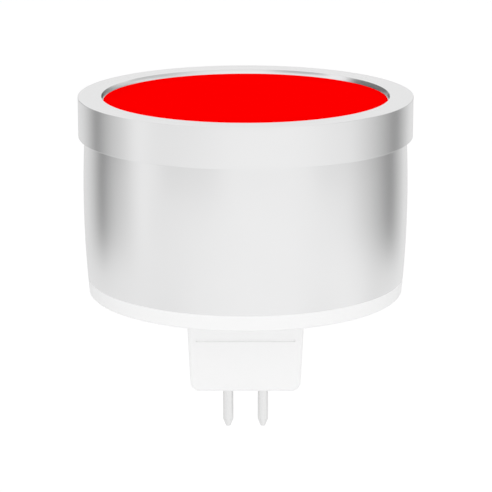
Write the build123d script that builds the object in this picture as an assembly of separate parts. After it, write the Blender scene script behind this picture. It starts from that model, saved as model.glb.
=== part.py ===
from build123d import *
import math
import os

# Two-pin LED spotlight lamp with a 50 mm front rim, lens up and pins down.
# Millimetres, +Z up. The origin is on the base's seating face, midway between the pins.

# Front bezel
BEZEL_DIAMETER = 50.0
BEZEL_HEIGHT = 6.0
BEZEL_SKIRT_WALL = 1.7
BEZEL_LIP_THICKNESS = 1.6
BEZEL_OPENING_DIAMETER = 43.0
BEZEL_LIP_FLARE = 0.2
BEZEL_EDGE_CHAMFER = 0.1

# Lens
LENS_RECESS = 0.65
LENS_RIM_THICKNESS = 1.0

# Barrel-shaped heat sink body
BODY_HEIGHT = 21.6
BODY_INSET = 0.655
BODY_CURVE_RADIUS = 160.0
BODY_WIDEST_HEIGHT = 12.5
NECK_WALL = 1.6
WEB_THICKNESS = 2.6
CHAMBER_DEPTH = 9.0

# Rear housing and its plug-in base
HOUSING_LIP_HEIGHT = 2.35
HOUSING_EDGE_CHAMFER = 0.2
SPIGOT_HEIGHT = 4.0
SPIGOT_WALL = 1.6
BOSS_DIAMETER = 5.8
BASE_HEIGHT = 14.9
BASE_BOTTOM_WIDTH = 16.6
BASE_TOP_WIDTH = 18.0
BASE_BOTTOM_DEPTH = 10.0
BASE_TOP_DEPTH = 11.0
BASE_WALL = 1.4
BASE_FLOOR = 2.0
BASE_CORNER_RADIUS = 1.45
BASE_EDGE_RADIUS = 0.5
GROOVE_HEIGHT_UP = 8.17
GROOVE_WIDTH = 0.5
GROOVE_DEPTH = 0.22
GROOVE_END_MARGIN = 1.2
RAIL_DEPTH = 1.2
RAIL_THICKNESS = 1.0

# Contact pins
PIN_DIAMETER = 1.6
PIN_SPACING = 5.33
PIN_LENGTH = 7.0
PIN_TIP_DIAMETER = 0.7
PIN_TIP_LENGTH = 1.1
PIN_ROOT_DIAMETER = 2.2
PIN_TAIL_DIAMETER = 1.0
PIN_TAIL_LENGTH = 4.5

# LED board
LED_BOARD_THICKNESS = 1.6
LED_COUNT = 6
LED_CIRCLE_DIAMETER = 21.0
LED_LENGTH = 3.5
LED_WIDTH = 2.8
LED_THICKNESS = 0.7
LED_WINDOW_LENGTH = 2.7
LED_WINDOW_WIDTH = 2.0
LED_WINDOW_HEIGHT = 0.15

# Screws through board and web into the housing bosses
SCREW_SPACING = 29.0
SCREW_DIAMETER = 2.5
SCREW_GRIP = 5.0
SCREW_HEAD_DIAMETER = 4.4
SCREW_HEAD_HEIGHT = 1.6
SCREW_HEAD_CHAMFER = 0.5
SCREW_RECESS_LENGTH = 2.4
SCREW_RECESS_WIDTH = 0.5
SCREW_RECESS_DEPTH = 0.9

# Driver board and what is soldered to it
DRIVER_THICKNESS = 1.0
DRIVER_HEAD_WIDTH = 28.0
RECTIFIER_SIZE = (4.7, 3.9, 1.9)
IC_SIZE = (4.9, 3.9, 1.5)
DIODE_SIZE = (4.3, 2.6, 2.2)
RESISTOR_SIZE = (3.2, 1.6, 0.6)
LEG_LENGTH = 1.1
LEG_WIDTH = 0.5
LEG_THICKNESS = 0.3
IC_LEGS_PER_SIDE = 4
RECTIFIER_LEGS_PER_SIDE = 2
DIODE_LEGS_PER_SIDE = 1
CHIP_OFFSET = 8.0
DIODE_HEIGHT_UP = 10.5
RESISTOR_HEIGHT_UP = 14.0
CAPACITOR_DIAMETER = 8.0
CAPACITOR_LENGTH = 10.0
CAPACITOR_EDGE_CHAMFER = 0.5
CAPACITOR_OFFSET = -8.0
INDUCTOR_WIDTH = 9.0
INDUCTOR_DEPTH = 5.0
INDUCTOR_HEIGHT = 8.0
INDUCTOR_YOKE = 1.3
INDUCTOR_LEG = 2.6
WINDING_BULGE = 1.5
INDUCTOR_OFFSET = 8.0

# Leads from the driver board to the LED board
LEAD_DIAMETER = 1.2
LEAD_SPACING = 2.4
LEAD_OPENING_WIDTH = 6.4
LEAD_OPENING_DEPTH = 3.2
LEAD_SOLDER_LENGTH = 3.0
LEAD_STUB = 0.6

# Clearances
LENS_SIDE_GAP = 0.08
LENS_RIM_GAP = 0.15
NECK_FIT = 0.05
SPIGOT_FIT = 0.1
BOARD_GAP = 0.5
SCREW_HOLE_GAP = 0.2
THREAD_FIT = 0.05
PIN_FIT = 0.02
RAIL_FIT = 0.05
TONGUE_GAP = 0.3
DRIVER_HEAD_GAP = 0.5
SOLDER_GAP = 0.05
LEAD_SLOT_GAP = 0.1
WINDING_FIT = 0.05

# Heights from the seating face up
lip_top = BASE_HEIGHT + HOUSING_LIP_HEIGHT
shoulder = lip_top + BODY_HEIGHT
bezel_top = shoulder + BEZEL_HEIGHT
lip_under = bezel_top - BEZEL_LIP_THICKNESS
lens_face = bezel_top - LENS_RECESS
lens_seat = lip_under - LENS_RIM_THICKNESS
led_board_top = lens_seat - CHAMBER_DEPTH
web_top = led_board_top - LED_BOARD_THICKNESS
web_under = web_top - WEB_THICKNESS
body_widest = lip_top + BODY_WIDEST_HEIGHT
driver_head_bottom = lip_top + DRIVER_HEAD_GAP
driver_head_top = web_under - DRIVER_HEAD_GAP
driver_head_middle = (driver_head_bottom + driver_head_top) / 2

# Radii and half sizes that pieces share
bezel_radius = BEZEL_DIAMETER / 2
skirt_radius = bezel_radius - BEZEL_SKIRT_WALL
opening_radius = BEZEL_OPENING_DIAMETER / 2
lip_radius = opening_radius - BEZEL_LIP_FLARE
neck_radius = skirt_radius - NECK_FIT
bore_radius = neck_radius - NECK_WALL
pin_tail_radius = PIN_TAIL_DIAMETER / 2
lead_radius = LEAD_DIAMETER / 2
driver_front = pin_tail_radius + SOLDER_GAP
driver_back = driver_front + DRIVER_THICKNESS
lead_depth = driver_front - SOLDER_GAP - lead_radius


def body_radius(height):
    """Outer radius of the barrel curve that the body and the housing lip share."""
    widest = bezel_radius - BODY_INSET
    drop = BODY_CURVE_RADIUS - math.sqrt(BODY_CURVE_RADIUS**2 - (height - body_widest) ** 2)
    return widest - drop


def base_half_width(height):
    """Half of the base's width along X, which grows evenly from bottom to top."""
    growth = (BASE_TOP_WIDTH - BASE_BOTTOM_WIDTH) / BASE_HEIGHT
    return (BASE_BOTTOM_WIDTH + growth * height) / 2


def base_half_depth(height):
    """Half of the base's depth along Y, which grows evenly from bottom to top."""
    growth = (BASE_TOP_DEPTH - BASE_BOTTOM_DEPTH) / BASE_HEIGHT
    return (BASE_BOTTOM_DEPTH + growth * height) / 2


def turned(*outline):
    """Solid of revolution about Z from (radius, height) corners."""
    return revolve(Plane.XZ * make_face(Polyline(*outline, close=True)), Axis.Z)


def disc(radius, bottom, top):
    """Upright cylinder between two heights."""
    return Pos(0, 0, bottom) * Cylinder(radius, top - bottom, align=(Align.CENTER, Align.CENTER, Align.MIN))


def brick(x_low, x_high, y_low, y_high, z_low, z_high):
    """Box between two corners."""
    middle = Pos((x_low + x_high) / 2, (y_low + y_high) / 2, (z_low + z_high) / 2)
    return middle * Box(x_high - x_low, y_high - y_low, z_high - z_low)


def barrel(bottom, top):
    """Slice of the barrel-shaped outside between two heights."""
    middle = (bottom + top) / 2
    curve = ThreePointArc(
        (body_radius(bottom), bottom), (body_radius(middle), middle), (body_radius(top), top)
    )
    straight = Polyline((body_radius(top), top), (0, top), (0, bottom), (body_radius(bottom), bottom))
    return revolve(Plane.XZ * make_face([*curve.edges(), *straight.edges()]), Axis.Z)


def bezel_ring():
    """Front ring with a leaning lip over the lens and a skirt that grips the body's neck."""
    ring = turned(
        (opening_radius, bezel_top),
        (bezel_radius, bezel_top),
        (bezel_radius, shoulder),
        (skirt_radius, shoulder),
        (skirt_radius, lip_under),
        (lip_radius, lip_under),
        (lip_radius, lens_face),
    )
    outer_edges = ring.edges().group_by(SortBy.LENGTH)[-1]
    return chamfer(outer_edges, BEZEL_EDGE_CHAMFER)


def lens():
    """Stepped disc: its face fills the opening, its rim is held under the lip."""
    face_radius = lip_radius - LENS_SIDE_GAP
    rim_radius = skirt_radius - LENS_RIM_GAP
    return turned(
        (0, lens_face),
        (face_radius, lens_face),
        (face_radius, lip_under),
        (rim_radius, lip_under),
        (rim_radius, lens_seat),
        (0, lens_seat),
    )


def screw_places():
    """Where the two screws stand, on the Y axis."""
    return [Pos(0, side * SCREW_SPACING / 2, 0) for side in (-1, 1)]


def screw_holes(bottom, top):
    """Clearance holes for both screws between two heights."""
    hole = disc(SCREW_DIAMETER / 2 + SCREW_HOLE_GAP, bottom, top)
    return [place * hole for place in screw_places()]


def lead_places():
    """Where the two leads run, side by side along the driver board's front face."""
    return [Pos(side * LEAD_SPACING / 2, lead_depth, 0) for side in (-1, 1)]


def lead_slot(width, depth, bottom, top):
    """Slot round both leads between two heights."""
    return brick(-width / 2, width / 2, lead_depth - depth / 2, lead_depth + depth / 2, bottom, top)


def heat_sink_body():
    """Barrel with a neck, a lamp chamber in front, a driver chamber behind and a web between."""
    body = barrel(lip_top, shoulder) + disc(neck_radius, shoulder, lens_seat)
    body -= disc(bore_radius, web_top, lens_seat)
    body -= disc(bore_radius, lip_top, web_under)
    body -= lead_slot(LEAD_OPENING_WIDTH, LEAD_OPENING_DEPTH, web_under, web_top)
    return body - screw_holes(web_under, web_top)


def led_board():
    """Round metal-core board that lies on the web."""
    board = disc(bore_radius - BOARD_GAP, web_top, led_board_top)
    slot_depth = LEAD_DIAMETER + 2 * LEAD_SLOT_GAP
    board -= lead_slot(LEAD_SPACING + slot_depth, slot_depth, web_top, led_board_top)
    return board - screw_holes(web_top, led_board_top)


def led():
    """One emitter: a flat package with a raised window, standing on the board's face."""
    top = led_board_top + LED_THICKNESS
    package = brick(-LED_LENGTH / 2, LED_LENGTH / 2, -LED_WIDTH / 2, LED_WIDTH / 2, led_board_top, top)
    return package + brick(
        -LED_WINDOW_LENGTH / 2, LED_WINDOW_LENGTH / 2,
        -LED_WINDOW_WIDTH / 2, LED_WINDOW_WIDTH / 2,
        top, top + LED_WINDOW_HEIGHT,
    )


def screw():
    """Pan-head screw with a cross recess, its head on the LED board."""
    shank = disc(SCREW_DIAMETER / 2, web_under - SCREW_GRIP, led_board_top)
    head_top = led_board_top + SCREW_HEAD_HEIGHT
    head = disc(SCREW_HEAD_DIAMETER / 2, led_board_top, head_top)
    head = chamfer(head.edges().sort_by(Axis.Z)[-1], SCREW_HEAD_CHAMFER)
    slot = brick(
        -SCREW_RECESS_LENGTH / 2, SCREW_RECESS_LENGTH / 2,
        -SCREW_RECESS_WIDTH / 2, SCREW_RECESS_WIDTH / 2,
        head_top - SCREW_RECESS_DEPTH, head_top,
    )
    return shank + head - slot - Rot(0, 0, 90) * slot


def board_screws():
    """Both screws as one group."""
    return Part() + [place * screw() for place in screw_places()]


def tapered_block(bottom, top, inset, corner_radius=0):
    """Block with the base's tapers, set in from its outside, its lower ends rounded on request."""
    front = Plane.XZ * make_face(Polyline(
        (inset - base_half_width(bottom), bottom),
        (base_half_width(bottom) - inset, bottom),
        (base_half_width(top) - inset, top),
        (inset - base_half_width(top), top),
        close=True,
    ))
    side = Plane.YZ * make_face(Polyline(
        (inset - base_half_depth(bottom), bottom),
        (base_half_depth(bottom) - inset, bottom),
        (base_half_depth(top) - inset, top),
        (inset - base_half_depth(top), top),
        close=True,
    ))
    if corner_radius:
        front = fillet(front.vertices().group_by(Axis.Z)[0], corner_radius)
    return extrude(front, BEZEL_DIAMETER, both=True) & extrude(side, BEZEL_DIAMETER, both=True)


def base_block():
    """Outside of the plug-in base, rounded all round its two broad faces."""
    block = tapered_block(0, lip_top, 0, BASE_CORNER_RADIUS)
    faces = block.faces().sort_by(Axis.Y)
    rims = [edge for face in (faces[0], faces[-1]) for edge in face.edges().sort_by(Axis.Z)[:-1]]
    return fillet(rims, BASE_EDGE_RADIUS)


def retention_grooves():
    """Shallow groove across each broad face, which a holder's spring clips into."""
    half_length = base_half_width(GROOVE_HEIGHT_UP) - GROOVE_END_MARGIN
    outside = base_half_depth(lip_top)
    floor = base_half_depth(GROOVE_HEIGHT_UP) - GROOVE_DEPTH
    groove = brick(
        -half_length, half_length, floor, outside,
        GROOVE_HEIGHT_UP - GROOVE_WIDTH / 2, GROOVE_HEIGHT_UP + GROOVE_WIDTH / 2,
    )
    return [groove, Rot(0, 0, 180) * groove]


def driver_rails():
    """Two pairs of ribs on the base's end walls, which the driver board slides between."""
    inner = base_half_width(BASE_FLOOR) - BASE_WALL - RAIL_DEPTH
    outer = base_half_width(lip_top)
    limit = tapered_block(BASE_FLOOR / 2, lip_top, BASE_WALL / 2)
    front_rail = (driver_front - RAIL_FIT - RAIL_THICKNESS, driver_front - RAIL_FIT)
    back_rail = (driver_back + RAIL_FIT, driver_back + RAIL_FIT + RAIL_THICKNESS)
    rails = []
    for y_low, y_high in (front_rail, back_rail):
        rails.append(brick(inner, outer, y_low, y_high, BASE_FLOOR / 2, BASE_HEIGHT) & limit)
        rails.append(brick(-outer, -inner, y_low, y_high, BASE_FLOOR / 2, BASE_HEIGHT) & limit)
    return rails


def rear_housing():
    """White moulding: rim, spigot, screw bosses and the hollow two-pin base in one piece."""
    rim = barrel(BASE_HEIGHT, lip_top)
    rim = chamfer(rim.faces().sort_by(Axis.Z)[0].edges(), HOUSING_EDGE_CHAMFER)
    spigot_radius = bore_radius - SPIGOT_FIT
    spigot = disc(spigot_radius, lip_top, lip_top + SPIGOT_HEIGHT)
    spigot -= disc(spigot_radius - SPIGOT_WALL, lip_top, lip_top + SPIGOT_HEIGHT)
    boss = disc(BOSS_DIAMETER / 2, lip_top, web_under)
    boss -= disc(SCREW_DIAMETER / 2 + THREAD_FIT, web_under - SCREW_GRIP - SCREW_HOLE_GAP, web_under)
    housing = rim + base_block() + spigot
    housing += [place * boss for place in screw_places()]
    housing -= tapered_block(BASE_FLOOR, lip_top, BASE_WALL)
    housing += driver_rails()
    housing -= retention_grooves()
    return housing - [place * contact_pin(PIN_FIT) for place in pin_places()]


def pin_places():
    """Where the two pins stand, on the X axis."""
    return [Pos(side * PIN_SPACING / 2, 0, 0) for side in (-1, 1)]


def contact_pin(growth=0):
    """Turned pin with a thicker root in the base's floor, grown for the hole that takes it."""
    radius = PIN_DIAMETER / 2 + growth
    root_radius = PIN_ROOT_DIAMETER / 2 + growth
    return turned(
        (0, -PIN_LENGTH),
        (PIN_TIP_DIAMETER / 2, -PIN_LENGTH),
        (radius, PIN_TIP_LENGTH - PIN_LENGTH),
        (radius, 0),
        (root_radius, 0),
        (root_radius, BASE_FLOOR),
        (pin_tail_radius, BASE_FLOOR),
        (pin_tail_radius, BASE_FLOOR + PIN_TAIL_LENGTH),
        (0, BASE_FLOOR + PIN_TAIL_LENGTH),
    )


def driver_board():
    """T-shaped circuit board: its stem stands in the base, its head fills the rear chamber."""
    stem = base_half_width(BASE_FLOOR) - BASE_WALL - TONGUE_GAP
    board = brick(-stem, stem, driver_front, driver_back, BASE_FLOOR, driver_head_bottom)
    half_head = DRIVER_HEAD_WIDTH / 2
    return board + brick(
        -half_head, half_head, driver_front, driver_back, driver_head_bottom, driver_head_top
    )


def chip(size, legs_per_side, x_middle, z_middle):
    """Moulded package flat on the board's front face, with legs out of its two ends."""
    width, height, thickness = size
    body = brick(
        x_middle - width / 2, x_middle + width / 2,
        driver_front - thickness, driver_front,
        z_middle - height / 2, z_middle + height / 2,
    )
    half_reach = width / 2 + LEG_LENGTH
    pitch = height / (legs_per_side + 1)
    for index in range(legs_per_side):
        leg_middle = z_middle - height / 2 + pitch * (index + 1)
        body += brick(
            x_middle - half_reach, x_middle + half_reach,
            driver_front - LEG_THICKNESS, driver_front,
            leg_middle - LEG_WIDTH / 2, leg_middle + LEG_WIDTH / 2,
        )
    return body


def sense_resistor():
    """Flat chip resistor on the stem's front face."""
    width, height, thickness = RESISTOR_SIZE
    return brick(
        -width / 2, width / 2, driver_front - thickness, driver_front,
        RESISTOR_HEIGHT_UP - height / 2, RESISTOR_HEIGHT_UP + height / 2,
    )


def on_driver_back(x_middle):
    """Place that turns an upright piece to stand out of the driver board's back face."""
    return Pos(x_middle, driver_back, driver_head_middle) * Rot(-90, 0, 0)


def electrolytic_capacitor():
    """Round can with a rolled rim, its foot on the driver board."""
    can = disc(CAPACITOR_DIAMETER / 2, 0, CAPACITOR_LENGTH)
    can = chamfer(can.edges().sort_by(Axis.Z)[-1], CAPACITOR_EDGE_CHAMFER)
    return on_driver_back(CAPACITOR_OFFSET) * can


def inductor_core():
    """Ferrite frame with a middle leg, its foot on the driver board."""
    half_width = INDUCTOR_WIDTH / 2
    half_depth = INDUCTOR_DEPTH / 2
    core = brick(-half_width, half_width, -half_depth, half_depth, 0, INDUCTOR_HEIGHT)
    window = brick(
        INDUCTOR_LEG / 2, half_width - INDUCTOR_YOKE, -half_depth, half_depth,
        INDUCTOR_YOKE, INDUCTOR_HEIGHT - INDUCTOR_YOKE,
    )
    return on_driver_back(INDUCTOR_OFFSET) * (core - window - Rot(0, 0, 180) * window)


def inductor_winding():
    """Copper winding round the core's middle leg, through both windows."""
    bottom = INDUCTOR_YOKE + WINDING_FIT
    top = INDUCTOR_HEIGHT - INDUCTOR_YOKE - WINDING_FIT
    inner_width = INDUCTOR_LEG / 2 + WINDING_FIT
    inner_depth = INDUCTOR_DEPTH / 2 + WINDING_FIT
    outer_width = INDUCTOR_WIDTH / 2 - INDUCTOR_YOKE - WINDING_FIT
    outer_depth = inner_depth + WINDING_BULGE
    coil = brick(-outer_width, outer_width, -outer_depth, outer_depth, bottom, top)
    coil -= brick(-inner_width, inner_width, -inner_depth, inner_depth, bottom, top)
    return on_driver_back(INDUCTOR_OFFSET) * coil


def led_lead():
    """Insulated lead: up the driver board's face, through the web and into the LED board."""
    return disc(lead_radius, driver_head_top - LEAD_SOLDER_LENGTH, led_board_top + LEAD_STUB)


def pieces():
    """Every piece of the lamp by its node's name."""
    left_pin, right_pin = [place * contact_pin() for place in pin_places()]
    left_lead, right_lead = [place * led_lead() for place in lead_places()]
    named = {
        "bezel_ring": bezel_ring(),
        "lens": lens(),
        "heat_sink_body": heat_sink_body(),
        "led_board": led_board(),
        "board_screws": board_screws(),
        "rear_housing": rear_housing(),
        "contact_pin_left": left_pin,
        "contact_pin_right": right_pin,
        "driver_board": driver_board(),
        "bridge_rectifier": chip(RECTIFIER_SIZE, RECTIFIER_LEGS_PER_SIDE, -CHIP_OFFSET, driver_head_middle),
        "driver_ic": chip(IC_SIZE, IC_LEGS_PER_SIDE, CHIP_OFFSET, driver_head_middle),
        "freewheel_diode": chip(DIODE_SIZE, DIODE_LEGS_PER_SIDE, 0, DIODE_HEIGHT_UP),
        "sense_resistor": sense_resistor(),
        "electrolytic_capacitor": electrolytic_capacitor(),
        "inductor_core": inductor_core(),
        "inductor_winding": inductor_winding(),
        "led_lead_positive": left_lead,
        "led_lead_negative": right_lead,
    }
    for index, place in enumerate(PolarLocations(LED_CIRCLE_DIAMETER / 2, LED_COUNT), start=1):
        named[f"led_{index}"] = place * led()
    return named


os.makedirs("parts", exist_ok=True)
for name, solid in pieces().items():
    export_step(solid, f"parts/{name}.step")
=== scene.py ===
import math

import bpy
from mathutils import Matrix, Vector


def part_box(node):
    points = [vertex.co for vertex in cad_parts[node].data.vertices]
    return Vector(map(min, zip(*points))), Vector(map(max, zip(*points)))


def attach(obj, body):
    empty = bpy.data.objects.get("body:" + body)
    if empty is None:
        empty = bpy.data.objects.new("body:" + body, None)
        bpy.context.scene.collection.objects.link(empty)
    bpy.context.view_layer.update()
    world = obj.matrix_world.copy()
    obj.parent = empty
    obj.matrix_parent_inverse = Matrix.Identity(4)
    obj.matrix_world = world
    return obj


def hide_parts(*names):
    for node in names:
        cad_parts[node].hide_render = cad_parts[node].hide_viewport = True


# LED spotlight lamp, lens up and pins down, in metres in the row's frame
MM = 0.001
DEGREE = math.pi / 180
HALF_TURN = 180
WHOLE_TURN = 360

# Camera, fitted to the rim ellipses and the pins
IMAGE_PIXELS = 492
FOCAL_PIXELS = 2413.9
SENSOR_WIDTH = 36.0
CAMERA_DISTANCE = 365.7 * MM
CAMERA_ELEVATION = 14.277 * DEGREE
CAMERA_TARGET_HEIGHT = 21.534 * MM
CAMERA_SHIFT_X = 0.0009

# Floor
FLOOR_HEIGHT = -100 * MM
FLOOR_SIZE = 12.0
FLOOR_COLOUR = (0.94, 0.94, 0.94, 1)
FLOOR_GLOW = 0.185

# Soft lamps, place in metres and watts: one on the camera's side and one at each end
SOFTBOX_SIZE = 0.8
SOFTBOXES = {
    "softbox_front": ((0, -1.0, 0.25), 1.3),
    "softbox_left": ((-0.95, -0.3, 0.25), 0.28),
    "softbox_right": ((0.95, -0.3, 0.25), 0.42),
}

# Studio walls: tone by turn in degrees from the camera's side, right side positive
RAMP_MIDDLE = 0.5
WALL_TONES = [
    (-180, 0.82), (-150, 0.79), (-141, 0.71), (-133, 0.585), (-127, 0.422), (-121, 0.306), (-114, 0.444),
    (-104, 0.614), (-92, 0.737), (-78, 0.965), (-65, 0.905), (-48, 0.935), (-25, 0.98), (0, 1.0),
    (30, 1.0), (65, 0.945), (76, 0.905), (88, 0.765), (100, 0.62), (115, 0.4), (121, 0.314), (127, 0.36),
    (133, 0.515), (141, 0.67), (150, 0.82), (180, 0.84),
]

# Paler tones below the walls, and the heights in degrees between which they meet
LOWER_TONES = [
    (-180, 0.86), (-150, 0.88), (-122, 0.93), (-96, 0.92), (-75, 0.93), (-45, 0.96), (0, 1.0), (78, 1.0),
    (92, 0.97), (103, 0.91), (112, 0.89), (120, 0.92), (132, 0.93), (180, 0.92),
]
LOWER_HEIGHTS = (-15.1, -17.7)

# Open room above the walls, a little darker towards the back
ROOM_HEIGHTS = (-6.0, 0.0)
ROOM_TONE = 1.0
ROOM_BACK_TONE = 0.875
ROOM_BACK_REACH = (0.0, 0.9)

# Dark cards in the room: turns and heights of their soft edges in degrees, and how dark they are
TIP_CARD_HEIGHTS = (-10.4, -9.2, -5, -2)
BAND_CARD_HEIGHTS = (-10.5, -7, 0, 8)
LOW_CARD_HEIGHTS = (-52, -42, -32, -25)
HIGH_CARD_HEIGHTS = (26, 36, 54, 66)
CARDS = [
    # Mirrored by the ring's wall at the two sides of the lens
    ((-166, -154, -104, -86), (-8, -4, 14, 20), 0.79),
    ((112, 158, 164, 176), (-9.5, -6.5, 1, 9), 0.72),
    ((92, 116, 148, 168), (-4, -1, 8, 14), 0.22),
    ((156, 166, 190, 200), TIP_CARD_HEIGHTS, 0.8),
    ((-200, -190, -166, -156), TIP_CARD_HEIGHTS, 0.82),
    # Mirrored by the body just under the ring
    ((-68, -54, -28, -8), BAND_CARD_HEIGHTS, 0.18),
    ((40, 60, 108, 124), BAND_CARD_HEIGHTS, 0.165),
    ((-28, -8, 40, 60), BAND_CARD_HEIGHTS, 0.04),
    # Mirrored by the ring's wall behind the lens
    ((-78, -64, -40, -12), (10, 18, 34, 44), 0.46),
    ((14, 78, 104, 116), (4, 12, 34, 44), 0.4),
    ((-50, -20, 20, 50), (14, 24, 44, 60), 0.1),
    # Mirrored by the body in views from above and from below
    ((38, 56, 70, 88), LOW_CARD_HEIGHTS, 0.5),
    ((-88, -70, -56, -38), LOW_CARD_HEIGHTS, 0.5),
    ((96, 112, 128, 144), HIGH_CARD_HEIGHTS, 0.45),
    ((-144, -128, -112, -96), HIGH_CARD_HEIGHTS, 0.45),
]

# Surface detail of the outer pieces, sizes in millimetres
NOISE_DETAIL = 2.0
TURNING_PITCH = 0.12
TURNING_DEPTH = 0.0003
ANODISE_BLOT = 6.0
FROST_GRAIN = 0.25
FROST_DEPTH = 0.004
MOULD_GRAIN = 0.12
MOULD_FLOW = 5.0
MOULD_DEPTH = 0.003
DRAWN_PITCH = 0.15
DRAWN_DEPTH = 0.002
DRAWN_STRETCH = (1, 1, 0.03)

# Surface detail of the inner pieces, places and sizes in millimetres
LED_COUNT = 6
LED_CIRCLE_RADIUS = 10.5
LED_WINDOW_BOTTOM = 33.95
WINDOW_EDGE = 0.01
PHOSPHOR_GRAIN = 0.12
TRACK_HALF_WIDTH = 2.2
TRACK_EDGE = 0.15
TRACK_RELIEF = 0.02
MASK_GRAIN = 0.4
SCREW_PLACE = 14.5
SCREW_MARK_PITCH = 0.1
SCREW_MARK_DEPTH = 0.001
ZINC_BLOT = 0.8
TRACK_PITCH = 1.5
TRACK_WIDTH = 0.8
TRACK_RUN = 5.2
TRACK_BENDS = (1.9, 3.3)
CHIP_LEG = 1.1
RESISTOR_END = 0.5
CHIP_GRAIN = 0.15
CHIP_DEPTH = 0.004
STRIPE_HALF_ANGLE = 35 * DEGREE
CAN_END = 0.35
SLEEVE_GRAIN = 1.5
SLEEVE_DEPTH = 0.01
FERRITE_GRAIN = 0.3
FERRITE_DETAIL = 4.0
FERRITE_DEPTH = 0.008
WIRE_PITCH = 0.4
WIRE_RELIEF = 0.12
LEAD_BARE = 0.6
LEAD_GRAIN = 0.3
LEAD_DEPTH = 0.004

# Gloss: roughness at the two ends of each pattern, and specular levels
ALUMINIUM_ROUGHNESS = (0.17, 0.23)
WHITE_ROUGHNESS = (0.42, 0.55)
NICKEL_ROUGHNESS = (0.16, 0.26)
MASK_ROUGHNESS = (0.3, 0.45)
PACKAGE_ROUGHNESS = (0.35, 0.55)
ZINC_ROUGHNESS = (0.25, 0.4)
BOARD_ROUGHNESS = (0.25, 0.4)
CHIP_ROUGHNESS = (0.6, 0.3)
SLEEVE_ROUGHNESS = (0.25, 0.4)
FERRITE_ROUGHNESS = (0.45, 0.7)
WIRE_ROUGHNESS = (0.25, 0.4)
LEAD_ROUGHNESS = (0.35, 0.5)
LENS_ROUGHNESS = 0.8
PLAIN_SPECULAR = 0.5
WHITE_SPECULAR = 0.3
CHIP_SPECULAR = 0.4

# Colours
ALUMINIUM_DARK = (0.85, 0.85, 0.852, 1)
ALUMINIUM_LIGHT = (0.862, 0.862, 0.864, 1)
LENS_DARK = (0.84, 0, 0, 1)
LENS_LIGHT = (0.88, 0, 0, 1)
# The lens glow is painted light: it lifts the lit red to an even flat tone, while the emitters behind
# the lens give no light
LENS_PAINTED_GLOW = (1, 0, 0, 1)
LENS_PAINTED_GLOW_STRENGTH = 0.21
WHITE_DARK = (0.945, 0.945, 0.945, 1)
WHITE_LIGHT = (0.955, 0.955, 0.955, 1)
NICKEL_DARK = (0.81, 0.81, 0.81, 1)
NICKEL_LIGHT = (0.87, 0.87, 0.868, 1)
MASK_WHITE = (0.88, 0.88, 0.86, 1)
MASK_OVER_COPPER = (0.8, 0.8, 0.77, 1)
PACKAGE_CREAM = (0.85, 0.82, 0.72, 1)
PHOSPHOR_DARK = (0.82, 0.6, 0.05, 1)
PHOSPHOR_LIGHT = (0.9, 0.72, 0.12, 1)
ZINC_DARK = (0.52, 0.53, 0.55, 1)
ZINC_LIGHT = (0.64, 0.65, 0.66, 1)
BOARD_GREEN = (0.01, 0.13, 0.05, 1)
BOARD_OVER_COPPER = (0.03, 0.24, 0.09, 1)
CHIP_DARK = (0.012, 0.012, 0.013, 1)
CHIP_LIGHT = (0.03, 0.03, 0.032, 1)
TINNED = (0.72, 0.72, 0.7, 1)
SLEEVE_DARK = (0.012, 0.02, 0.05, 1)
SLEEVE_STRIPE = (0.6, 0.62, 0.64, 1)
CAN_ALUMINIUM = (0.8, 0.8, 0.8, 1)
FERRITE_DARK = (0.025, 0.025, 0.028, 1)
FERRITE_LIGHT = (0.07, 0.07, 0.075, 1)
# The dark copper is painted shade for the grooves between the winding's turns
COPPER_GROOVE_SHADE = (0.35, 0.1, 0.03, 1)
COPPER_LIGHT = (0.78, 0.33, 0.14, 1)
LEAD_RED_DARK = (0.45, 0.01, 0.01, 1)
LEAD_RED_LIGHT = (0.55, 0.02, 0.015, 1)
LEAD_BLACK_DARK = (0.012, 0.012, 0.012, 1)
LEAD_BLACK_LIGHT = (0.03, 0.03, 0.03, 1)

# Lathe pieces
LATHE_SEGMENTS = 256
PIN_SEGMENTS = 64
ARC_STEPS = 5
SHARP_ANGLE = 40 * DEGREE

# Bezel ring and lens, radii and heights in millimetres as in the CAD, and their edge radii
BEZEL_RADIUS = 25.0
BEZEL_TOP = 44.85
BEZEL_BOTTOM = 38.85
SKIRT_RADIUS = 23.3
OPENING_RADIUS = 21.5
LIP_RADIUS = 21.3
LIP_UNDER = 43.25
LENS_FACE = 44.2
LENS_SEAT = 42.25
LENS_FACE_RADIUS = 21.22
LENS_RIM_RADIUS = 23.15
BEZEL_EDGE = 0.05
LENS_EDGE = 0.08

# Contact pins, in millimetres as in the CAD, and their edge radii
PIN_SIDE = 5.33 / 2
PIN_RADIUS = 0.8
PIN_LENGTH = 7.0
PIN_TIP_RADIUS = 0.35
PIN_TIP_LENGTH = 1.1
PIN_ROOT_RADIUS = 1.1
PIN_FLOOR = 2.0
PIN_TAIL_RADIUS = 0.5
PIN_TAIL_TOP = 6.5
PIN_TIP_EDGE = 0.06
PIN_SHOULDER_EDGE = 0.2


def node(tree, kind, inputs=None, **settings):
    """New node with its settings, and its inputs by name or number, each a value or a socket."""
    made = tree.nodes.new("ShaderNode" + kind)
    for name, value in settings.items():
        setattr(made, name, value)
    for key, value in (inputs or {}).items():
        if isinstance(value, bpy.types.NodeSocket):
            tree.links.new(value, made.inputs[key])
        else:
            made.inputs[key].default_value = value
    return made


def calc(tree, operation, *values):
    """Result of a math node on numbers or sockets."""
    return node(tree, "Math", dict(enumerate(values)), operation=operation).outputs[0]


def product(tree, *values):
    """All values multiplied."""
    total = values[0]
    for value in values[1:]:
        total = calc(tree, "MULTIPLY", total, value)
    return total


def ease(tree, value, start, end):
    """0 up to start and 1 from end on, with a smooth step between them."""
    limits = {"Value": value, "From Min": start, "From Max": end}
    return node(tree, "MapRange", limits, interpolation_type="SMOOTHSTEP").outputs[0]


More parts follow.
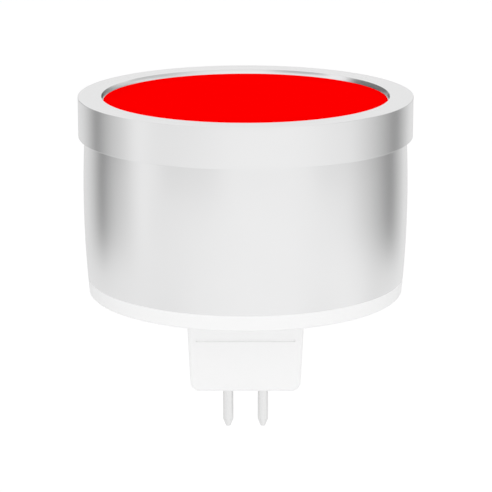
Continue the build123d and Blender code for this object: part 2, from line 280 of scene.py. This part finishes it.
def between(tree, value, limits):
    """1 between the two middle limits, 0 outside the outer two, with smooth steps."""
    rise = ease(tree, value, limits[0], limits[1])
    return product(tree, rise, ease(tree, value, limits[3], limits[2]))


def axes(tree, vector, names):
    """The named axes of a vector, such as XZ, as a list."""
    parts = node(tree, "SeparateXYZ", {0: vector}).outputs
    return [parts[name] for name in names]


def blend(tree, share, first, second):
    """Colour between two colours or sockets."""
    mixed = node(tree, "Mix", {0: share, 6: first, 7: second}, data_type="RGBA")
    return mixed.outputs[2]


def grey(value):
    """Neutral colour of one tone."""
    return (value, value, value, 1)


def add_camera():
    """Camera at the photograph's angle, looking along +Y and down."""
    data = bpy.data.cameras.new("camera")
    data.sensor_width = SENSOR_WIDTH
    data.lens = FOCAL_PIXELS / IMAGE_PIXELS * SENSOR_WIDTH
    data.shift_x = CAMERA_SHIFT_X
    camera = bpy.data.objects.new("camera", data)
    back = CAMERA_DISTANCE * math.cos(CAMERA_ELEVATION)
    rise = CAMERA_DISTANCE * math.sin(CAMERA_ELEVATION)
    camera.location = (0, -back, CAMERA_TARGET_HEIGHT + rise)
    camera.rotation_euler = (math.pi / 2 - CAMERA_ELEVATION, 0, 0)
    bpy.context.scene.collection.objects.link(camera)
    bpy.context.scene.camera = camera


def floor_paper():
    """Pale paper that keeps the lamp's shadow and is clear from below."""
    material = bpy.data.materials.new("floor_paper")
    material.use_nodes = True
    tree = material.node_tree
    paper = tree.nodes["Principled BSDF"]
    paper.inputs["Base Color"].default_value = FLOOR_COLOUR
    paper.inputs["Roughness"].default_value = 1
    paper.inputs["Specular IOR Level"].default_value = 0
    paper.inputs["Emission Color"].default_value = grey(1)
    seen = node(tree, "LightPath").outputs["Is Camera Ray"]
    tree.links.new(calc(tree, "MULTIPLY", seen, FLOOR_GLOW), paper.inputs["Emission Strength"])
    clear = node(tree, "BsdfTransparent").outputs[0]
    under = node(tree, "NewGeometry").outputs["Backfacing"]
    both = node(tree, "MixShader", {0: under, 1: paper.outputs[0], 2: clear})
    tree.links.new(both.outputs[0], tree.nodes["Material Output"].inputs["Surface"])
    return material


def add_floor():
    """Floor well below the lamp, which isn't mirrored in its metal."""
    half = FLOOR_SIZE / 2
    corners = [(-half, -half, 0), (half, -half, 0), (half, half, 0), (-half, half, 0)]
    mesh = bpy.data.meshes.new("floor")
    mesh.from_pydata(corners, [], [(0, 1, 2, 3)])
    mesh.materials.append(floor_paper())
    floor = bpy.data.objects.new("floor", mesh)
    floor.location = (0, 0, FLOOR_HEIGHT)
    floor.visible_glossy = False
    bpy.context.scene.collection.objects.link(floor)


def add_softbox(name, place, watts):
    """Large soft lamp that faces the part and isn't mirrored in its metal."""
    data = bpy.data.lights.new(name, "AREA")
    data.size = SOFTBOX_SIZE
    data.energy = watts
    softbox = bpy.data.objects.new(name, data)
    softbox.location = place
    x, y, z = place
    tilt = math.atan2(z - CAMERA_TARGET_HEIGHT, math.hypot(x, y))
    softbox.rotation_euler = (math.pi / 2 - tilt, 0, math.atan2(x, -y))
    softbox.visible_glossy = False
    softbox.visible_camera = False
    bpy.context.scene.collection.objects.link(softbox)


def tone_curve(tree, turn, stops):
    """Colour ramp over a whole turn, from (degrees, tone) stops."""
    share = calc(tree, "DIVIDE", calc(tree, "ADD", turn, HALF_TURN), WHOLE_TURN)
    curve = node(tree, "ValToRGB", {0: share})
    elements = curve.color_ramp.elements
    while len(elements) < len(stops):
        elements.new(RAMP_MIDDLE)
    for element, (degrees, tone) in zip(elements, stops):
        element.position = (degrees + HALF_TURN) / WHOLE_TURN
        element.color = grey(tone)
    return curve.outputs[0]


def add_world():
    """White studio with soft grey walls and dark cards, for the part's metal to mirror."""
    world = bpy.data.worlds.new("studio")
    world.use_nodes = True
    bpy.context.scene.world = world
    tree = world.node_tree
    direction = node(tree, "TexCoord").outputs["Generated"]
    x, y, z = axes(tree, direction, "XYZ")
    turn = calc(tree, "DIVIDE", calc(tree, "ARCTAN2", x, calc(tree, "MULTIPLY", y, -1)), DEGREE)
    height = calc(tree, "DIVIDE", calc(tree, "ARCSINE", z), DEGREE)
    walls = tone_curve(tree, turn, WALL_TONES)
    lower = tone_curve(tree, turn, LOWER_TONES)
    room = blend(tree, ease(tree, y, *ROOM_BACK_REACH), grey(ROOM_TONE), grey(ROOM_BACK_TONE))
    studio = blend(tree, ease(tree, height, *LOWER_HEIGHTS), walls, lower)
    studio = blend(tree, ease(tree, height, *ROOM_HEIGHTS), studio, room)
    for turns, heights, darkness in CARDS:
        dark = product(tree, between(tree, turn, turns), between(tree, height, heights), darkness)
        studio = blend(tree, dark, studio, grey(0))
    seen = node(tree, "LightPath").outputs["Is Camera Ray"]
    tree.links.new(blend(tree, seen, studio, grey(1)), tree.nodes["Background"].inputs["Color"])


def rounded(corners):
    """Outline points from (radius, height, edge radius) corners, with an arc at each rounded one."""
    points = []
    for index, (r, z, edge) in enumerate(corners):
        if not edge:
            points.append((r, z))
            continue
        before = corners[index - 1]
        after = corners[(index + 1) % len(corners)]
        to_before = math.atan2(before[1] - z, before[0] - r)
        to_after = math.atan2(after[1] - z, after[0] - r)
        opening = (to_after - to_before + math.pi) % (2 * math.pi) - math.pi
        reach = edge / math.tan(abs(opening) / 2)
        middle = to_before + opening / 2
        away = edge / math.sin(abs(opening) / 2)
        centre = (r + away * math.cos(middle), z + away * math.sin(middle))
        start = (r + reach * math.cos(to_before), z + reach * math.sin(to_before))
        first = math.atan2(start[1] - centre[1], start[0] - centre[0])
        turn = -math.copysign(math.pi - abs(opening), opening)
        for step in range(ARC_STEPS + 1):
            angle = first + turn * step / ARC_STEPS
            points.append((centre[0] + edge * math.cos(angle), centre[1] + edge * math.sin(angle)))
    return points


def lathe(name, corners, segments, centre_x=0.0):
    """Closed turned piece from an outline in millimetres, counter-clockwise in radius and height."""
    vertices = []
    rings = []
    for r, z in rounded(corners):
        if not r:
            rings.append([len(vertices)] * segments)
            vertices.append((centre_x * MM, 0, z * MM))
            continue
        rings.append(list(range(len(vertices), len(vertices) + segments)))
        for step in range(segments):
            angle = 2 * math.pi * step / segments
            vertices.append(((centre_x + r * math.cos(angle)) * MM, r * math.sin(angle) * MM, z * MM))
    faces = []
    for lower, upper in zip(rings, rings[1:] + rings[:1]):
        for step in range(segments):
            onward = (step + 1) % segments
            face = [lower[step], lower[onward], upper[onward], upper[step]]
            face = [corner for place, corner in enumerate(face) if corner != face[place - 1]]
            if len(face) > 2:
                faces.append(face)
    mesh = bpy.data.meshes.new(name)
    mesh.from_pydata(vertices, [], faces)
    mesh.shade_smooth()
    mesh.set_sharp_from_angle(angle=SHARP_ANGLE)
    piece = bpy.data.objects.new(name, mesh)
    bpy.context.scene.collection.objects.link(piece)
    weighted = piece.modifiers.new("weighted_normals", "WEIGHTED_NORMAL")
    weighted.keep_sharp = True
    return piece


def stand_for(piece, cad_node, material):
    """Puts a piece in a CAD node's place, with its material."""
    piece.data.materials.append(material)
    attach(piece, "root")
    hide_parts(cad_node)


def bezel_trim():
    """Front ring with softly broken edges."""
    return lathe("bezel_trim", [
        (OPENING_RADIUS, BEZEL_TOP, BEZEL_EDGE),
        (LIP_RADIUS, LENS_FACE, 0),
        (LIP_RADIUS, LIP_UNDER, BEZEL_EDGE),
        (SKIRT_RADIUS, LIP_UNDER, 0),
        (SKIRT_RADIUS, BEZEL_BOTTOM, BEZEL_EDGE),
        (BEZEL_RADIUS, BEZEL_BOTTOM, BEZEL_EDGE),
        (BEZEL_RADIUS, BEZEL_TOP, BEZEL_EDGE),
    ], LATHE_SEGMENTS)


def lens_disc():
    """Flat front disc with its rim under the lip."""
    return lathe("lens_disc", [
        (0, LENS_FACE, 0),
        (0, LENS_SEAT, 0),
        (LENS_RIM_RADIUS, LENS_SEAT, LENS_EDGE),
        (LENS_RIM_RADIUS, LIP_UNDER, LENS_EDGE),
        (LENS_FACE_RADIUS, LIP_UNDER, 0),
        (LENS_FACE_RADIUS, LENS_FACE, LENS_EDGE),
    ], LATHE_SEGMENTS)


def plug_pin(name, side):
    """Contact pin with a rounded point."""
    return lathe(name, [
        (0, PIN_TAIL_TOP, 0),
        (0, -PIN_LENGTH, 0),
        (PIN_TIP_RADIUS, -PIN_LENGTH, PIN_TIP_EDGE),
        (PIN_RADIUS, PIN_TIP_LENGTH - PIN_LENGTH, PIN_SHOULDER_EDGE),
        (PIN_RADIUS, 0, 0),
        (PIN_ROOT_RADIUS, 0, 0),
        (PIN_ROOT_RADIUS, PIN_FLOOR, 0),
        (PIN_TAIL_RADIUS, PIN_FLOOR, 0),
        (PIN_TAIL_RADIUS, PIN_TAIL_TOP, 0),
    ], PIN_SEGMENTS, side * PIN_SIDE)


def finish(name, metallic=0, specular=PLAIN_SPECULAR):
    """New material with its node tree and its shader."""
    material = bpy.data.materials.new(name)
    material.use_nodes = True
    tree = material.node_tree
    surface = tree.nodes["Principled BSDF"]
    surface.inputs["Metallic"].default_value = metallic
    surface.inputs["Specular IOR Level"].default_value = specular
    return material, tree, surface


def position(tree):
    """Place on the part in millimetres."""
    metres = node(tree, "TexCoord").outputs["Object"]
    return node(tree, "VectorMath", {0: metres, "Scale": 1 / MM}, operation="SCALE").outputs[0]


def stretched(tree, vector, scales):
    """Place with each axis multiplied."""
    return node(tree, "VectorMath", {0: vector, 1: scales}, operation="MULTIPLY").outputs[0]


def noise(tree, vector, size, detail=NOISE_DETAIL):
    """Cloudy 0 to 1 pattern with blots of about a size in millimetres."""
    return node(tree, "TexNoise", {"Vector": vector, "Scale": 1 / size, "Detail": detail}).outputs[0]


def lines(tree, along, size):
    """Uneven 0 to 1 lines across a direction, about a size apart in millimetres."""
    inputs = {"W": along, "Scale": 1 / size, "Detail": NOISE_DETAIL}
    return node(tree, "TexNoise", inputs, noise_dimensions="1D").outputs[0]


def radius(tree, x, y):
    """Distance from the Z axis through a place."""
    return calc(tree, "SQRT", calc(tree, "ADD", product(tree, x, x), product(tree, y, y)))


def bump(tree, surface, height, depth):
    """Relief of a depth in millimetres on a surface, from a 0 to 1 pattern."""
    relief = node(tree, "Bump", {"Strength": 1, "Distance": depth * MM, "Height": height})
    tree.links.new(relief.outputs[0], surface.inputs["Normal"])


def colour(tree, surface, share, first, second):
    """Base colour between two colours by a 0 to 1 pattern."""
    tree.links.new(blend(tree, share, first, second), surface.inputs["Base Color"])


def rough(tree, surface, share, limits):
    """Roughness between two limits by a 0 to 1 pattern."""
    low, high = limits
    spread = node(tree, "MapRange", {"Value": share, "To Min": low, "To Max": high})
    tree.links.new(spread.outputs[0], surface.inputs["Roughness"])


def turned_metal(name):
    """Anodised aluminium with the fine lines of its turning."""
    metal, tree, surface = finish(name, metallic=1)
    vector = position(tree)
    x, y, z = axes(tree, vector, "XYZ")
    marks = lines(tree, calc(tree, "ADD", radius(tree, x, y), z), TURNING_PITCH)
    bloom = noise(tree, vector, ANODISE_BLOT)
    colour(tree, surface, bloom, ALUMINIUM_DARK, ALUMINIUM_LIGHT)
    rough(tree, surface, marks, ALUMINIUM_ROUGHNESS)
    bump(tree, surface, marks, TURNING_DEPTH)
    return metal


def red_lens():
    """Frosted red front, with a painted glow that lifts its lit red to an even flat tone."""
    red, tree, surface = finish("red_lens", specular=0)
    frost = noise(tree, position(tree), FROST_GRAIN)
    colour(tree, surface, frost, LENS_DARK, LENS_LIGHT)
    surface.inputs["Roughness"].default_value = LENS_ROUGHNESS
    # Painted glow, lifting the lit red to an even flat tone
    surface.inputs["Emission Color"].default_value = LENS_PAINTED_GLOW
    surface.inputs["Emission Strength"].default_value = LENS_PAINTED_GLOW_STRENGTH
    bump(tree, surface, frost, FROST_DEPTH)
    return red


def white_plastic():
    """Moulded white plastic with a fine spark-eroded grain."""
    white, tree, surface = finish("white_plastic", specular=WHITE_SPECULAR)
    vector = position(tree)
    grain = noise(tree, vector, MOULD_GRAIN)
    colour(tree, surface, noise(tree, vector, MOULD_FLOW), WHITE_DARK, WHITE_LIGHT)
    rough(tree, surface, grain, WHITE_ROUGHNESS)
    bump(tree, surface, grain, MOULD_DEPTH)
    return white


def pin_metal():
    """Nickel-plated pin with lines drawn along it."""
    metal, tree, surface = finish("pin_metal", metallic=1)
    drawn = noise(tree, stretched(tree, position(tree), DRAWN_STRETCH), DRAWN_PITCH)
    colour(tree, surface, drawn, NICKEL_DARK, NICKEL_LIGHT)
    rough(tree, surface, drawn, NICKEL_ROUGHNESS)
    bump(tree, surface, drawn, DRAWN_DEPTH)
    return metal


def led_board_mask():
    """White solder mask with the ring track that feeds the emitters showing faintly through it."""
    mask, tree, surface = finish("led_board_mask")
    vector = position(tree)
    x, y = axes(tree, vector, "XY")
    off_track = calc(tree, "ABSOLUTE", calc(tree, "SUBTRACT", radius(tree, x, y), LED_CIRCLE_RADIUS))
    track = ease(tree, off_track, TRACK_HALF_WIDTH, TRACK_HALF_WIDTH - TRACK_EDGE)
    colour(tree, surface, track, MASK_WHITE, MASK_OVER_COPPER)
    rough(tree, surface, noise(tree, vector, MASK_GRAIN), MASK_ROUGHNESS)
    bump(tree, surface, track, TRACK_RELIEF)
    return mask


def led_package():
    """Cream package with a yellow window of phosphor on top."""
    package, tree, surface = finish("led_package")
    vector = position(tree)
    [z] = axes(tree, vector, "Z")
    speckle = noise(tree, vector, PHOSPHOR_GRAIN)
    phosphor = blend(tree, speckle, PHOSPHOR_DARK, PHOSPHOR_LIGHT)
    window = ease(tree, z, LED_WINDOW_BOTTOM, LED_WINDOW_BOTTOM + WINDOW_EDGE)
    colour(tree, surface, window, PACKAGE_CREAM, phosphor)
    rough(tree, surface, speckle, PACKAGE_ROUGHNESS)
    return package


def screw_steel():
    """Zinc-plated steel, turned across the heads."""
    steel, tree, surface = finish("screw_steel", metallic=1)
    vector = position(tree)
    x, y, z = axes(tree, vector, "XYZ")
    off_screw = calc(tree, "SUBTRACT", calc(tree, "ABSOLUTE", y), SCREW_PLACE)
    marks = lines(tree, calc(tree, "ADD", radius(tree, x, off_screw), z), SCREW_MARK_PITCH)
    colour(tree, surface, noise(tree, vector, ZINC_BLOT), ZINC_DARK, ZINC_LIGHT)
    rough(tree, surface, marks, ZINC_ROUGHNESS)
    bump(tree, surface, marks, SCREW_MARK_DEPTH)
    return steel


def circuit_board():
    """Green board with bent parallel tracks raised a little under the mask."""
    board, tree, surface = finish("circuit_board")
    vector = position(tree)
    x, z = axes(tree, vector, "XZ")
    low_bend, high_bend = TRACK_BENDS
    rise = calc(tree, "PINGPONG", z, TRACK_RUN)
    bend = calc(tree, "MINIMUM", calc(tree, "MAXIMUM", rise, low_bend), high_bend)
    off_track = calc(tree, "PINGPONG", calc(tree, "ADD", x, bend), TRACK_PITCH / 2)
    tracks = ease(tree, off_track, TRACK_WIDTH / 2 + TRACK_EDGE, TRACK_WIDTH / 2)
    colour(tree, surface, tracks, BOARD_GREEN, BOARD_OVER_COPPER)
    rough(tree, surface, noise(tree, vector, MASK_GRAIN), BOARD_ROUGHNESS)
    bump(tree, surface, tracks, TRACK_RELIEF)
    return board


def chip_black(name, leg_length):
    """Moulded black package with bright tinned legs at both ends of its box along X."""
    chip, tree, surface = finish("chip_black_" + name, specular=CHIP_SPECULAR)
    low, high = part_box(name)
    middle = (low[0] + high[0]) / 2 / MM
    body_half = (high[0] - low[0]) / 2 / MM - leg_length
    vector = position(tree)
    [x] = axes(tree, vector, "X")
    outward = calc(tree, "ABSOLUTE", calc(tree, "SUBTRACT", x, middle))
    leg = calc(tree, "GREATER_THAN", outward, body_half)
    grain = noise(tree, vector, CHIP_GRAIN)
    moulding = blend(tree, grain, CHIP_DARK, CHIP_LIGHT)
    colour(tree, surface, leg, moulding, TINNED)
    tree.links.new(leg, surface.inputs["Metallic"])
    rough(tree, surface, leg, CHIP_ROUGHNESS)
    bump(tree, surface, grain, CHIP_DEPTH)
    return chip


def capacitor_can():
    """Dark sleeve with a pale stripe along it, and a bare end at the far side."""
    can, tree, surface = finish("capacitor_can")
    low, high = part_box("electrolytic_capacitor")
    vector = position(tree)
    x, y, z = axes(tree, vector, "XYZ")
    sideways = calc(tree, "SUBTRACT", x, (low[0] + high[0]) / 2 / MM)
    upwards = calc(tree, "SUBTRACT", z, (low[2] + high[2]) / 2 / MM)
    around = calc(tree, "ARCTAN2", upwards, sideways)
    stripe = calc(tree, "LESS_THAN", calc(tree, "ABSOLUTE", around), STRIPE_HALF_ANGLE)
    end = calc(tree, "GREATER_THAN", y, high[1] / MM - CAN_END)
    film = noise(tree, vector, SLEEVE_GRAIN)
    sleeve = blend(tree, stripe, SLEEVE_DARK, SLEEVE_STRIPE)
    colour(tree, surface, end, sleeve, CAN_ALUMINIUM)
    tree.links.new(end, surface.inputs["Metallic"])
    rough(tree, surface, film, SLEEVE_ROUGHNESS)
    bump(tree, surface, film, SLEEVE_DEPTH)
    return can


def ferrite():
    """Pressed ferrite, dark and slightly sparkling."""
    core, tree, surface = finish("ferrite")
    grain = noise(tree, position(tree), FERRITE_GRAIN, FERRITE_DETAIL)
    colour(tree, surface, grain, FERRITE_DARK, FERRITE_LIGHT)
    rough(tree, surface, grain, FERRITE_ROUGHNESS)
    bump(tree, surface, grain, FERRITE_DEPTH)
    return core


def copper_wire():
    """Enamelled copper turns laid side by side along the core's leg, with painted shade darkening the
    grooves between turns.
    """
    copper, tree, surface = finish("copper_wire", metallic=1)
    vector = position(tree)
    [y] = axes(tree, vector, "Y")
    wave = calc(tree, "SINE", calc(tree, "MULTIPLY", y, 2 * math.pi / WIRE_PITCH))
    turns = calc(tree, "DIVIDE", calc(tree, "ADD", wave, 1), 2)
    # Painted shade: the copper darkens in the grooves between turns
    colour(tree, surface, turns, COPPER_GROOVE_SHADE, COPPER_LIGHT)
    rough(tree, surface, noise(tree, vector, WIRE_PITCH), WIRE_ROUGHNESS)
    bump(tree, surface, turns, WIRE_RELIEF)
    return copper


def lead_wire(name, dark, light):
    """Insulated lead with bare tinned ends, at the same heights on both leads."""
    lead, tree, surface = finish(name)
    low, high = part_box("led_lead_positive")
    vector = position(tree)
    [z] = axes(tree, vector, "Z")
    below = calc(tree, "LESS_THAN", z, low[2] / MM + LEAD_BARE)
    above = calc(tree, "GREATER_THAN", z, high[2] / MM - LEAD_BARE)
    bare = calc(tree, "MAXIMUM", below, above)
    grain = noise(tree, stretched(tree, vector, DRAWN_STRETCH), LEAD_GRAIN)
    colour(tree, surface, bare, blend(tree, grain, dark, light), TINNED)
    tree.links.new(bare, surface.inputs["Metallic"])
    rough(tree, surface, grain, LEAD_ROUGHNESS)
    bump(tree, surface, grain, LEAD_DEPTH)
    return lead


def cad_finishes():
    """Material of each CAD node that no other piece replaces, by the node's name."""
    package = led_package()
    finishes = {"led_%d" % number: package for number in range(1, LED_COUNT + 1)}
    finishes.update({
        "led_board": led_board_mask(),
        "board_screws": screw_steel(),
        "driver_board": circuit_board(),
        "bridge_rectifier": chip_black("bridge_rectifier", CHIP_LEG),
        "driver_ic": chip_black("driver_ic", CHIP_LEG),
        "freewheel_diode": chip_black("freewheel_diode", CHIP_LEG),
        "sense_resistor": chip_black("sense_resistor", RESISTOR_END),
        "electrolytic_capacitor": capacitor_can(),
        "inductor_core": ferrite(),
        "inductor_winding": copper_wire(),
        "led_lead_positive": lead_wire("lead_red", LEAD_RED_DARK, LEAD_RED_LIGHT),
        "led_lead_negative": lead_wire("lead_black", LEAD_BLACK_DARK, LEAD_BLACK_LIGHT),
        "heat_sink_body": turned_metal("body_metal"),
        "rear_housing": white_plastic(),
    })
    return finishes


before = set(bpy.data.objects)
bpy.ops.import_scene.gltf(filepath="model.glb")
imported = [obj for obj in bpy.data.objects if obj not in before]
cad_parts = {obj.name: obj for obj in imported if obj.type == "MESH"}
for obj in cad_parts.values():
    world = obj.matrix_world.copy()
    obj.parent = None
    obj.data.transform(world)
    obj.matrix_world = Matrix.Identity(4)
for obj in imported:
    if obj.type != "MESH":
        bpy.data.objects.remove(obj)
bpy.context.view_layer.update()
bpy.context.scene.view_settings.view_transform = "Standard"
add_camera()
add_floor()
for name, (place, watts) in SOFTBOXES.items():
    add_softbox(name, place, watts)
add_world()

# Ring and lens, left out of mirror reflections so that the ring's wall mirrors the studio alone
ring = bezel_trim()
ring.visible_glossy = False
stand_for(ring, "bezel_ring", turned_metal("bezel_metal"))
front = lens_disc()
front.visible_glossy = False
stand_for(front, "lens", red_lens())

# Pins
nickel = pin_metal()
stand_for(plug_pin("plug_pin_left", -1), "contact_pin_left", nickel)
stand_for(plug_pin("plug_pin_right", 1), "contact_pin_right", nickel)

# CAD nodes in their own finishes
for name, material in cad_finishes().items():
    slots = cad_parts[name].data.materials
    slots.clear()
    slots.append(material)
